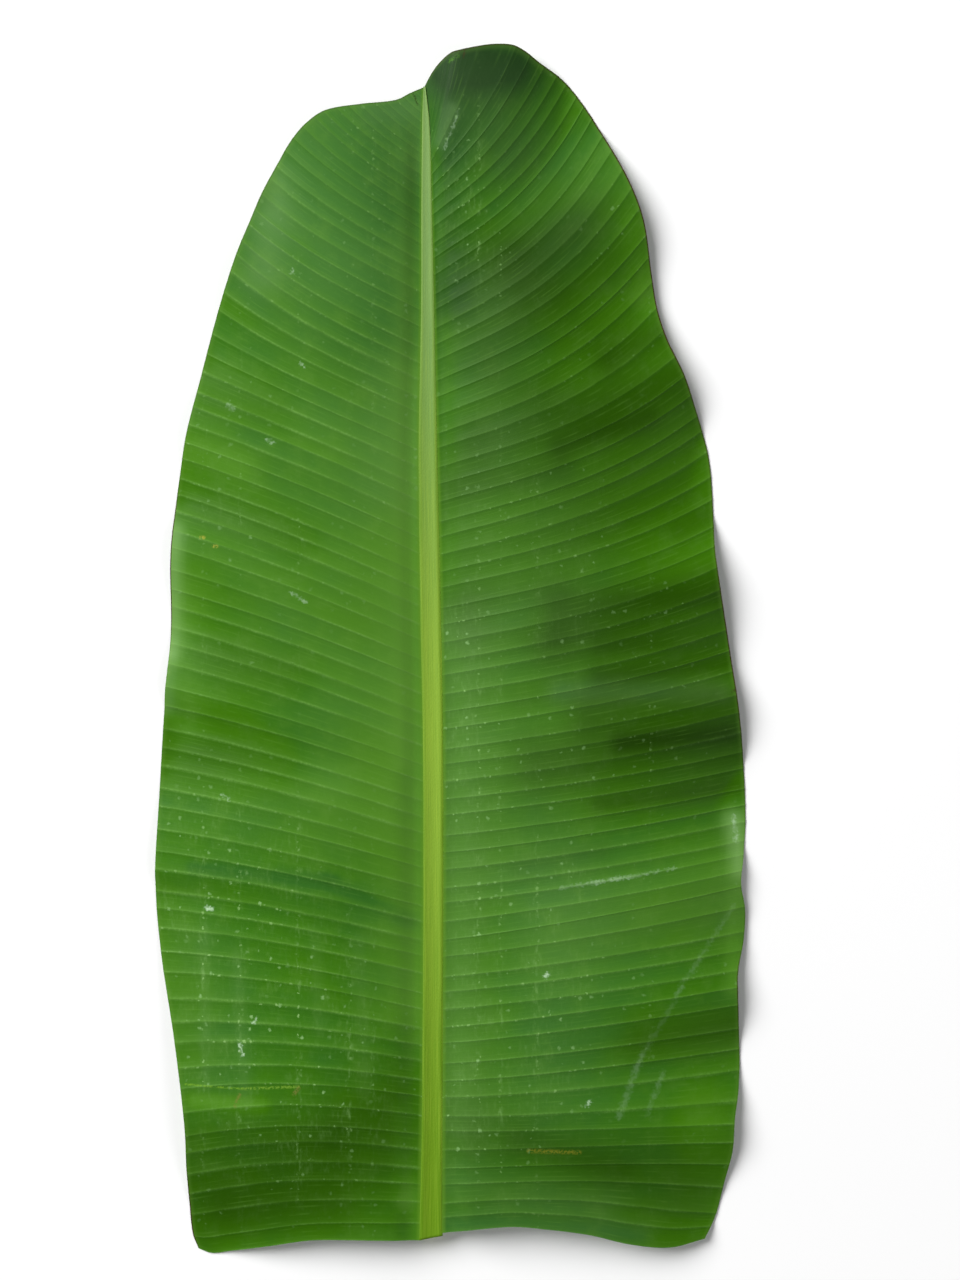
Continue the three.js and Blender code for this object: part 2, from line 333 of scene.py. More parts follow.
# Each vein: where it leaves the midrib, where it ends across and along, how evenly it climbs, its arch
RIGHT_VEINS = [
    (0, 186, -2, 1, 0),
    (22, 194, 14, 1, 6.8),
    (40, 200, 38, 1, 5.4),
    (53, 204.5, 57, 1, 3),
    (75, 206, 80, 1, 1),
    (87, 209, 100, 1, 0),
    (101, 210, 120, 1, 0),
    (140, 208, 167, 1, 0),
    (155, 208.5, 181, 0.97, 0),
    (172, 212.5, 201, 0.95, 0),
    (188, 213.5, 221, 0.93, 0),
    (203, 210.5, 239, 0.92, 0),
    (226, 212.5, 258, 0.9, 0),
    (250, 214, 282, 0.88, 0),
    (296, 212, 328, 0.83, 0),
    (347, 204.5, 387, 0.76, 0),
    (408, 193, 460, 0.66, 0),
    (434, 192, 492, 0.63, 0),
    (455, 190, 522, 0.61, 0),
    (468, 186.5, 540, 0.6, 0),
    (494, 178, 566, 0.58, 0),
    (512, 171, 585, 0.57, 0),
    (530, 160.5, 607, 0.56, 0),
    (543, 154, 628, 0.55, 0),
    (559, 150, 651, 0.55, 0),
    (588, 144, 689, 0.55, 0),
    (612, 132.5, 719, 0.55, 0),
    (647, 112.5, 755.5, 0.57, 0),
    (676, 98, 776.5, 0.6, 0),
    (690, 88.5, 786.5, 0.62, 0),
    (706, 74, 796, 0.65, 0),
    (721, 57, 807, 0.7, 0),
    (727, 42, 808, 0.75, 0),
    (734, 20, 804.5, 0.8, 0),
    (744, 12, 802, 0.85, 0),
    (756, 4, 795, 0.9, 0),
    (769, -1, 788, 0.95, 0),
    (LEAF_NOTCH, -4.7, LEAF_NOTCH, 1, 0),
]
LEFT_VEINS = [
    (0, 158.5, -9.5, 1, 0),
    (13.5, 162.5, 1, 1, 4),
    (30, 164.5, 20, 1, 7.5),
    (49, 166, 44, 1, 8.8),
    (76, 167, 76, 1, 8.2),
    (120, 174, 132, 1, 7),
    (163, 183.5, 190, 1, 6),
    (200, 187.5, 233, 1, 5),
    (241, 186, 281, 1, 4.4),
    (310, 181.5, 361.5, 1, 4),
    (347, 177.5, 405, 1, 3.7),
    (394, 177, 456, 1, 3.4),
    (422, 175, 487, 1, 3.2),
    (465, 169, 530, 1, 2.6),
    (496, 162.5, 560, 1, 2),
    (546, 149, 614, 0.85, 1),
    (586, 134.5, 660, 0.75, 0),
    (615, 125, 686, 0.75, 0),
    (641, 115.5, 709, 0.77, 0),
    (664, 104.5, 729, 0.79, 0),
    (681, 95.5, 743.5, 0.8, 0),
    (697, 85, 755.5, 0.8, 0),
    (714, 71.5, 764.5, 0.8, 0),
    (736, 48, 769, 0.8, 0),
    (756, 24.5, 772, 0.85, 0),
    (769, 14, 777, 0.9, 0),
    (LEAF_NOTCH, 4.7, LEAF_NOTCH, 1, 0),
]
# How far the waved cut runs along the leaf, from the midrib at 0 to the margin at 1
RIGHT_CUT = [(0, 3.5), (0.25, 9.8), (0.4, 8.4), (0.56, 4.6), (0.71, -2), (0.865, -5), (1, 0)]
LEFT_CUT = [(0, -1.5), (0.31, 2.7), (0.49, 3.7), (0.67, 0.5), (0.85, -2.7), (0.94, -3.9), (1, 0)]
# How high the sheet bows up, by where its vein leaves the midrib
RIGHT_CREST = [(0, 13), (250, 19), (420, 18), (560, 14), (690, 8), (LEAF_NOTCH, 1.5)]
LEFT_CREST = [(0, 11), (250, 14), (560, 12), (LEAF_NOTCH, 4)]
# The crests and troughs of the waves at the margin, in the same way
RIGHT_WAVES = [
    (0, 1),
    (24, -4),
    (70, 7),
    (101, -4),
    (140, 7),
    (180, -1),
    (207, 3),
    (260, -11),
    (329, 8),
    (350, 3),
    (398, 11),
    (448, -9),
    (520, 11),
    (549, 2),
    (599, 10),
    (665, -8),
    (728, 9),
    (LEAF_NOTCH, 0),
]
LEFT_WAVES = [
    (0, -10),
    (78, 8),
    (198, -4),
    (214, 2),
    (298, -8),
    (320, 2),
    (358, -4),
    (400, 4),
    (440, -6),
    (485, 4),
    (530, -5),
    (585, 4),
    (640, -6),
    (700, 3),
    (LEAF_NOTCH, 0),
]
# Each soft mark has its two ends, its reach, and what it adds to painted shade and light, warmth, painted
# sheen and dust
RIGHT_PAINTED_LIGHT_TINT_DUST_MARKS = [
    (101, 614, 114, 458, 61, -0.24, 0.1, 0.0, 0.0),
    (40, 763, 94, 702, 47, -0.14, 0.0, 0.05, 0.0),
    (13, 797, 57, 793, 23, -0.95, -0.5, 0.04, 0.0),
    (6, 790, 14, 736, 11, -0.2, -0.3, 0.0, 0.0),
    (26, 770, 50, 736, 27, -0.3, -0.2, 0.06, 0.0),
    (16, 641, 97, 672, 31, -0.4, -0.05, 0.0, 0.0),
    (60, 668, 114, 695, 16, -0.16, 0.1, 0.0, 0.0),
    (33, 540, 169, 577, 22, -0.4, 0.1, 0.0, 0.0),
    (121, 595, 160, 615, 12, -0.36, 0.1, 0.0, 0.0),
    (87, 534, 148, 553, 9, -0.26, 0.0, 0.0, 0.0),
    (169, 479, 189, 488, 9, -0.22, 0.0, 0.0, 0.0),
    (87, 423, 196, 441, 16, -0.34, 0.1, 0.0, 0.0),
    (26, 414, 74, 404, 20, -0.12, 0.0, 0.0, 0.0),
    (87, 404, 196, 423, 22, -0.4, 0.2, 0.0, 0.0),
    (74, 322, 206, 335, 23, -0.46, 0.2, 0.0, 0.0),
    (108, 355, 202, 364, 18, -0.44, 0.2, 0.0, 0.0),
    (114, 294, 213, 305, 7, -0.34, 0.2, 0.0, 0.0),
    (206, 282, 211, 248, 7, 0.4, -0.2, 0.5, 0.3),
    (87, 208, 206, 242, 34, 0.14, -0.1, 0.05, 0.0),
    (141, 135, 206, 144, 16, -0.3, 0.3, 0.0, 0.0),
    (33, 69, 182, 45, 26, -0.34, 0.0, 0.0, 0.0),
    (33, 18, 182, 10, 30, -0.26, 0.1, 0.0, 0.0),
    (6, 10, 141, 3, 9, 0.0, -0.5, 0.06, 0.0),
    (208, 235, 204, 160, 6, 0.12, 0.0, 0.0, 0.0),
    (17, 404, 18, 79, 24, -0.1, 0.3, 0.17, 0.6),
    (14, 512, 16, 418, 23, -0.16, 0.3, 0.04, 0.2),
    (141, 553, 175, 458, 41, 0.0, 0.45, 0.0, 0.0),
    (175, 418, 196, 364, 27, 0.0, 0.4, 0.0, 0.0),
    (87, 499, 87, 269, 34, 0.0, 0.0, 0.07, 0.2),
    (87, 228, 77, 113, 41, 0.0, -0.2, 0.1, 0.5),
    (139, 685, 145, 634, 11, 0.2, 0.1, 0.0, 0.0),
    (14, 749, 18, 634, 14, -0.2, -0.2, 0.0, 0.0),
    (10, 729, 11, 668, 6, -0.14, 0.0, 0.0, 0.0),
    (9, 472, 10, 391, 6, 0.14, 0.0, 0.0, 0.0),
    (40, 600, 87, 628, 23, -0.3, 0.0, 0.0, 0.0),
    (17, 506, 87, 519, 12, -0.24, 0.0, 0.0, 0.0),
    (114, 380, 199, 389, 9, -0.4, 0.0, 0.0, 0.0),
    (13, 431, 87, 438, 11, -0.14, 0.0, 0.0, 0.0),
    (87, 370, 196, 370, 9, 0.0, -0.4, 0.12, 0.0),
    (128, 335, 202, 342, 8, -0.34, 0.1, 0.0, 0.0),
    (60, 252, 114, 262, 8, -0.16, 0.0, 0.0, 0.0),
    (60, 69, 128, 47, 12, -0.2, 0.0, 0.0, 0.0),
    (16, 749, 26, 661, 20, 0.0, 0.0, 0.0, 0.6),
    (6, 743, 14, 764, 5, 0.15, -0.3, 0.24, 0.0),
    (40, 634, 47, 255, 30, -0.03, 0.0, 0.08, 0.0),
    (40, 675, 67, 634, 20, -0.14, 0.2, 0.0, 0.0),
    (13, 587, 74, 573, 14, -0.12, 0.0, 0.0, 0.0),
    (74, 472, 182, 506, 38, -0.08, 0.2, 0.0, 0.0),
    (13, 35, 114, 22, 16, 0.0, -0.1, 0.1, 0.0),
    (182, 79, 194, 25, 18, 0.16, 0.7, 0.0, 0.0),
    (74, 621, 148, 638, 15, 0.14, 0.0, 0.0, 0.0),
    (74, 418, 189, 423, 8, 0.12, 0.0, 0.0, 0.0),
    (114, 399, 192, 402, 7, -0.18, 0.0, 0.0, 0.0),
    (60, 364, 192, 370, 8, -0.14, 0.0, 0.0, 0.0),
    (204, 248, 204, 167, 6, 0.1, 0.0, 0.0, 0.0),
]
LEFT_PAINTED_LIGHT_TINT_DUST_MARKS = [
    (-156, 28, -21, 69, 41, -0.46, 0.15, 0.0, 0.0),
    (-136, 15, -68, 22, 23, -0.26, 0.2, 0.0, 0.0),
    (-55, 86, -18, 100, 18, -0.12, 0.1, 0.0, 0.0),
    (-21, 580, -18, 160, 23, 0.26, 0.0, 0.0, 0.0),
    (-12, 770, -11, 5, 7, 0.14, 0.0, 0.0, 0.0),
    (-28, 763, -24, 512, 31, 0.0, -0.4, 0.08, 0.2),
    (-175, 479, -178, 397, 7, 0.4, -0.3, 0.45, 0.0),
    (-20, 736, -20, 323, 7, 0.17, 0.0, 0.0, 0.0),
    (-20, 86, -19, 25, 7, 0.2, 0.0, 0.0, 0.0),
    (-179, 394, -181, 360, 6, 0.22, -0.3, 0.2, 0.0),
    (-139, 668, -95, 655, 23, -0.04, 0.1, 0.0, 0.0),
    (-146, 570, -109, 563, 20, -0.12, 0.4, 0.0, 0.2),
    (-163, 536, -129, 523, 11, 0.18, 0.2, 0.0, 0.2),
    (-153, 496, -89, 472, 15, -0.2, 0.4, 0.0, 0.3),
    (-153, 394, -95, 383, 18, -0.2, 0.3, 0.0, 0.2),
    (-156, 330, -102, 320, 18, -0.2, 0.35, 0.0, 0.0),
    (-31, 749, -21, 702, 20, -0.12, -0.4, 0.0, 0.0),
    (-38, 764, -9, 770, 12, -0.1, -0.5, 0.12, 0.0),
    (-110, 716, -114, 655, 16, 0.1, -0.4, 0.22, 0.0),
    (-68, 756, -62, 661, 41, 0.04, -0.3, 0.08, 0.0),
    (-123, 512, -102, 404, 34, 0.04, 0.0, 0.06, 0.0),
    (-160, 93, -114, 91, 5, 0.25, 0.6, 0.0, 0.0),
    (-160, 250, -68, 242, 5, -0.12, -0.5, 0.0, 0.0),
    (-68, 242, -14, 215, 5, -0.12, -0.5, 0.0, 0.0),
    (-136, 235, -89, 106, 61, 0.0, 0.0, 0.0, 0.9),
    (-55, 519, -48, 309, 41, 0.14, 0.0, 0.04, 0.0),
    (-178, 331, -136, 320, 20, -0.12, 0.9, 0.0, 0.0),
    (-173, 208, -153, 113, 20, -0.04, 0.2, 0.05, 0.0),
    (-163, 69, -68, 69, 16, -0.18, 0.0, 0.0, 0.0),
    (-163, 580, -163, 458, 27, 0.0, 0.4, 0.0, 0.0),
    (-165, 438, -165, 350, 15, 0.12, 0.0, 0.03, 0.0),
    (-16, 113, -16, 25, 8, 0.14, 0.0, 0.0, 0.0),
    (-136, 313, -62, 306, 12, 0.08, 0.0, 0.0, 0.0),
    (-89, 641, -75, 567, 34, 0.05, -0.2, 0.06, 0.0),
    (-11, 760, -7, 729, 15, 0.0, -0.5, 0.12, 0.0),
    (-129, 303, -75, 276, 34, 0.05, 0.0, 0.04, 0.0),
    (-163, 228, -136, 100, 20, 0.03, -0.2, 0.03, 0.0),
    (-154, 211, -152, 103, 3, 0.02, 0.0, 0.1, 0.3),
    (-131, 194, -125, 93, 4, 0.02, 0.0, 0.1, 0.3),
    (-78, 208, -75, 140, 4, 0.02, 0.0, 0.07, 0.2),
    (-49, 201, -44, 100, 5, 0.02, 0.0, 0.07, 0.2),
    (-35, 309, -31, 255, 20, 0.0, 0.3, 0.0, 0.0),
]
# How far each crease lies to the right of the middle of the cut
RIGHT_CREASES = [32, 47, 71, 148]
LEFT_CREASES = [-154, -129, -89, -55, -39]
# How far the margin is browned, by where its vein leaves the midrib
RIGHT_BROWNING = [
    (0, 0.1),
    (110, 0.2),
    (140, 0.8),
    (170, 0.3),
    (250, 0.2),
    (300, 0.5),
    (360, 1.0),
    (420, 0.5),
    (500, 0.7),
    (540, 1.0),
    (640, 0.9),
    (690, 0.6),
    (LEAF_NOTCH, 0.5),
]
LEFT_BROWNING = [
    (0, 0.2),
    (10, 1.0),
    (35, 0.8),
    (60, 0.1),
    (330, 0.1),
    (370, 1.0),
    (420, 0.9),
    (450, 0.2),
    (700, 0.3),
    (LEAF_NOTCH, 0.4),
]
# Each scratch has its two ends, its width in mm and how strongly it shows
RIGHT_SCRATCHES = [
    ((206, 225), (165, 165), 2.8, 0.08),
    ((170, 172), (138, 116), 3.6, 0.05),
    ((142, 124), (127, 84), 3.8, 0.1),
    ((157, 112), (146, 86), 3.2, 0.1),
    ((87, 238), (145, 247), 2.0, 0.16),
    ((106, 241), (133, 245), 2.2, 0.24),
    ((145, 247), (165, 251), 1.4, 0.2),
    ((208, 268), (206, 284), 2.6, 0.5),
    ((105, 92), (107, 94), 2.2, 0.7),
    ((77, 178), (79, 180), 2.0, 0.8),
    ((9, 738), (19, 762), 1.6, 0.2),
]
LEFT_SCRATCHES = [
    ((-152, 223), (-148, 223), 2.4, 0.9),
    ((-141, 300), (-137, 297), 1.6, 0.4),
    ((-88, 592), (-87, 590), 1.8, 0.6),
    ((-94, 653), (-94, 655), 1.8, 0.35),
    ((-137, 564), (-134, 561), 2.8, 0.25),
    ((-95, 437), (-84, 430), 1.8, 0.4),
    ((-111, 540), (-106, 538), 1.8, 0.4),
    ((-129, 132), (-127, 125), 1.8, 0.8),
    ((-120, 146), (-118, 149), 1.8, 0.7),
]
# Each blemish has its two ends, its width in mm and its colour
RIGHT_BLEMISHES = [
    ((66, 61), (100, 60), 2.4, (116, 118, 32)),
    ((13, 797), (18, 800), 2.4, (74, 124, 36)),
    ((22, 799), (23, 804), 1.4, (58, 50, 30)),
    ((204, 370), (206, 371), 1.8, (52, 46, 26)),
]
LEFT_BLEMISHES = [
    ((-127, 102), (-89, 104), 1.6, (122, 162, 54)),
    ((-166, 104), (-127, 102), 1.2, (112, 156, 42)),
    ((-132, 90), (-129, 98), 2.0, (112, 116, 50)),
    ((-92, 99), (-89, 103), 2.2, (118, 116, 56)),
    ((-12, 776), (-9, 769), 1.3, (42, 50, 22)),
    ((-156, 474), (-154, 474), 2.0, (168, 160, 60)),
    ((-147, 468), (-145, 468), 1.8, (168, 160, 60)),
]
VEINS = 72
VEIN_SPACING = 11.86
TIP_VEINS_FROM = 54
TIP_TIGHTENING = 0.225
EVENER_OVER = 24
BLADE_BELOW_RAIL = 1.3
TUCK_UNDER_SHOULDER = 0.25
LEVEL_FROM_SEAM = 9
CREST_AT = 0.85
MARGIN_HEIGHT = 4
WAVE_GROWTH = 1.6
FULL_VEIN = 90
FLOOR_BLEND = 2
CUT_FADE = 45
MARK_EDGE = 2.5
# The slack between two veins, the ridge over each vein, and where both begin and end
SLACK_DEPTH = 0.3
SLACK_MIDDLE = 0.33
VEIN_RIDGE = 0.06
RIDGE_WIDTH = 0.7
PLEAT_START = 0.06
PLEAT_FADE = 3
LAST_PLEAT = 64
SHEET_THICKNESS = 0.45
SHEET_LIFT = 0.5
SEAM_LIFT = 0.5
SEAM_LIFT_WIDTH = 12
BLADE_COLUMNS = 44
ROWS_PER_VEIN = 12
ROWS_TO_VEIN = 0.09


def vein_root(number, phase):
    """Where a vein leaves the midrib; the veins stand closer towards the tip, and none quite evenly."""
    tip = max(number - TIP_VEINS_FROM, 0)
    even = min(VEIN_SPACING * number - TIP_TIGHTENING * tip * tip, LEAF_NOTCH)
    uneven = 0.12 * math.sin(2.4 * number + phase) + 0.09 * math.sin(5.3 * number + 2 * phase)
    uneven *= min(number, VEINS - number, 1) * VEIN_SPACING * 0.6
    return even + uneven * (1 - tip / EVENER_OVER)


def rest_on_floor(height):
    """Height of the sheet where it comes down: it lands softly and never goes below the floor."""
    if height >= FLOOR_BLEND:
        return height
    if height <= -FLOOR_BLEND:
        return 0
    return (height + FLOOR_BLEND) ** 2 / (4 * FLOOR_BLEND)


def wave_height(table, at):
    """Wave through the crests and troughs of a table, level at each of them."""
    for start, end in zip(table, table[1:]):
        if at <= end[0]:
            break
    return start[1] + (end[1] - start[1]) * ease_between(at, start[0], end[0])


def broad_marks(marks, x, y):
    """Sum of the soft marks at a place: each is a line between two points that fades to its sides."""
    sums = [0, 0, 0, 0]
    for from_x, from_y, to_x, to_y, reach, *amounts in marks:
        span_x, span_y = to_x - from_x, to_y - from_y
        along = ((x - from_x) * span_x + (y - from_y) * span_y) / max(span_x**2 + span_y**2, 1)
        along = min(max(along, 0), 1)
        off = math.hypot(x - from_x - along * span_x, y - from_y - along * span_y)
        if off < MARK_EDGE * reach:
            fade = math.exp(-((off / reach) ** 2))
            sums = [total + fade * amount for total, amount in zip(sums, amounts)]
    return sums


def make_blade(name, sign, veins, cut, crest, waves, phase, marks, browning):
    """Half of the blade: a grid whose rows follow the veins from midrib to margin, made a thin sheet."""
    shape = bmesh.new()
    rows = VEINS * ROWS_PER_VEIN
    bmesh.ops.create_grid(shape, x_segments=BLADE_COLUMNS, y_segments=rows, size=1)
    vein_layer = shape.verts.layers.float.new("vein")
    midrib_layer = shape.verts.layers.float.new("from_midrib")
    margin_layer = shape.verts.layers.float.new("from_margin")
    mark_layers = [shape.verts.layers.float.new(layer) for layer in ("painted_shade_and_light", "warmth", "painted_sheen", "dust")]
    browned_layer = shape.verts.layers.float.new("browned")
    lines = {}
    for row in range(rows + 1):
        even = row / ROWS_PER_VEIN
        number = even - ROWS_TO_VEIN * math.sin(math.tau * even)
        root = vein_root(number, phase)
        inner = smooth(MIDRIB_SIDEWAYS, root)
        inner += sign * max(smooth(MIDRIB_HALF_WIDTH, root) - TUCK_UNDER_SHOULDER, 0)
        if row == rows:
            root, inner = LEAF_NOTCH, MIDRIB_SIDEWAYS[-1][1]
        end = sign * smooth(veins, root, 1)
        climb = smooth(veins, root, 2) - root
        length = math.hypot(end - inner, climb)
        evenness, arch = smooth(veins, root, 3), smooth(veins, root, 4)
        lines[row] = (number, root, inner, end, climb, evenness, arch, length)
    for point in shape.verts:
        out = (point.co.x + 1) / 2
        row = round((point.co.y + 1) / 2 * rows)
        number, root, inner, end, climb, evenness, arch, length = lines[row]
        x = inner + (end - inner) * out
        y = root + climb * (evenness * out + (1 - evenness) * out**3) + arch * 4 * out * (1 - out)
        y += smooth(cut, out) * max(1 - root / CUT_FADE, 0) ** 2
        fullness = ease_between(length, 0, FULL_VEIN)
        seam = smooth(MIDRIB_DEPTH, root) - BLADE_BELOW_RAIL
        along = out**CREST_AT
        bow = smooth(crest, root) * 4 * along * (1 - along)
        bow *= 1 - math.exp(-((out * length / LEVEL_FROM_SEAM) ** 2))
        ripple = wave_height(waves, root) * out**WAVE_GROWTH
        slack = (2 * (number % 1) - 1) ** 2 - SLACK_MIDDLE
        near_vein = min(number % 1, 1 - number % 1) * VEIN_SPACING
        ridge = VEIN_RIDGE * math.exp(-((near_vein / RIDGE_WIDTH) ** 2))
        pleat = (SLACK_DEPTH * slack + ridge) * ease_between(out, 0, PLEAT_START) * fullness
        pleat *= 1 - ease_between(number, LAST_PLEAT - PLEAT_FADE, LAST_PLEAT)
        height = seam + fullness * ((MARGIN_HEIGHT - seam) * out + bow + ripple)
        z = max(rest_on_floor(height) + pleat, 0) + SHEET_LIFT
        z += SEAM_LIFT * fullness * (1 - ease_between(out * length, 0, SEAM_LIFT_WIDTH))
        point[vein_layer] = number
        point[midrib_layer] = out * length
        point[margin_layer] = (1 - out) * length
        point[browned_layer] = smooth(browning, root)
        # Each point takes the painted shade and light, warmth, painted sheen and dust of the soft marks
        for layer, amount in zip(mark_layers, broad_marks(marks, x, y)):
            point[layer] = amount
        point.co = (CUT_PLACE + Vector((x, y, z))) * MM
    if sign < 0:
        bmesh.ops.reverse_faces(shape, faces=shape.faces)
    bmesh.ops.remove_doubles(shape, verts=shape.verts, dist=MERGE_WITHIN)
    for edge in shape.edges:
        edge.smooth = not edge.is_boundary
    piece = into_piece(name, shape)
    sheet = piece.modifiers.new("sheet", "SOLIDIFY")
    sheet.thickness = SHEET_THICKNESS * MM
    sheet.offset = -1
    sheet.material_offset = 1
    sheet.material_offset_rim = 2
    return piece


FINE_VEINS = 4.0
FRAYING = 2.6
SCRATCH_FRAYING = 5
CREASE_EDGE = 3.2
CREASE_CORE = 0.2


def vein_lines(tree, vein):
    """How strongly a place shows one of the main veins and one of the finer veins between them."""
    share = reckon(tree, "FRACT", vein)
    near = reckon(tree, "MINIMUM", share, reckon(tree, "SUBTRACT", 1.0, share))
    main = between(tree, near, 0.12, 0.0)
    fine_share = reckon(tree, "FRACT", reckon(tree, "MULTIPLY", vein, FINE_VEINS))
    fine_near = reckon(tree, "MINIMUM", fine_share, reckon(tree, "SUBTRACT", 1.0, fine_share))
    return main, between(tree, fine_near, 0.2, 0.04)


def evenly(tree, value, low, high, start=0.0, end=1.0):
    """Straight from start at a low value to end at a high one, and no further."""
    inputs = {"Value": value, "From Min": low, "From Max": high, "To Min": start, "To Max": end}
    return shade(tree, "ShaderNodeMapRange", inputs).outputs[0]


def reckon_place(tree, operation, first, second):
    """A sum on places. SCALE takes a number second, and a distance or a dot product gives one."""
    second_socket = "Scale" if operation == "SCALE" else 1
    made = shade(tree, "ShaderNodeVectorMath", {0: first, second_socket: second}, operation=operation)
    return made.outputs["Value" if operation in ("DISTANCE", "DOT_PRODUCT") else "Vector"]


def specks(tree, where, frayed, spacing, radius, share_shown):
    """Small blots about one spacing apart, of which only a share shows, each as bright as chance has it."""
    pushed = reckon_place(tree, "ADD", where, reckon_place(tree, "SCALE", frayed, FRAYING * MM))
    cells = shade(tree, "ShaderNodeTexVoronoi", {"Vector": pushed, "Scale": 1 / (spacing * MM)})
    chances = shade(tree, "ShaderNodeSeparateColor", {0: cells.outputs["Color"]}).outputs
    width = between(tree, chances[1], 0.0, 1.0, 0.5 * radius / spacing, radius / spacing)
    dot = between(tree, cells.outputs["Distance"], width, reckon(tree, "MULTIPLY", width, 0.3))
    return reckon(tree, "MULTIPLY", dot, between(tree, chances[0], 1 - share_shown, 1.0))


def creases(tree, across, places):
    """Faint folds that run straight along the leaf, each at its own distance across it."""
    together = 0.0
    for at in places:
        off = reckon(tree, "ABSOLUTE", reckon(tree, "SUBTRACT", across, at * MM))
        together = reckon(tree, "ADD", together, between(tree, off, CREASE_EDGE * MM, CREASE_CORE * MM))
    return together


def scratch(tree, where, start, end, width):
    """A thin line from one place on the blade to another, in mm from the middle of the cut."""
    shift = Vector((CUT_PLACE.x, CUT_PLACE.y, 0)) * MM
    from_place = Vector((*start, 0)) * MM + shift
    way = Vector((*end, 0)) * MM + shift - from_place
    level = reckon_place(tree, "MULTIPLY", where, (1, 1, 0))
    off = reckon_place(tree, "SUBTRACT", level, from_place)
    along = reckon_place(tree, "DOT_PRODUCT", off, way / way.length_squared)
    along = shade(tree, "ShaderNodeClamp", {0: along}).outputs[0]
    nearest = shade(tree, "ShaderNodeVectorMath", {0: way, "Scale": along}, operation="SCALE").outputs[0]
    return between(tree, reckon_place(tree, "DISTANCE", off, nearest), width * MM, 0.0)


COOL_GREEN = hue(49, 102, 30)
WARM_GREEN = hue(59, 112, 7)
PATCH_GREEN = hue(72, 120, 34)
DARK_GRAIN = hue(36, 84, 6)
LIGHT_GRAIN = hue(80, 132, 34)
PAINTED_SLOPE_SHADE = hue(30, 78, 4)
PAINTED_SLOPE_LIGHT = hue(84, 134, 36)
PAINTED_GROOVE_SHADE = hue(28, 74, 6)
COOL_SHADE = hue(18, 50, 12)
WARM_SHADE = hue(20, 46, 0)
PAINTED_LIGHT_GREEN = hue(112, 168, 60)
MAIN_VEIN = hue(110, 158, 72)
FINE_VEIN = hue(100, 148, 56)
PAINTED_SHEEN_GREEN = hue(132, 164, 112)
PALE_SEAM_AND_PAINTED_LIGHT = hue(92, 136, 34)
PALE_MARGIN_AND_PAINTED_LIGHT = hue(112, 152, 64)
RUBBED = hue(122, 164, 92)
PALE_BLOT = hue(136, 178, 112)
PALE_DOT = hue(144, 186, 112)
PALE_SCRATCH = hue(176, 206, 168)
DRIED_BROWN = hue(58, 40, 24)


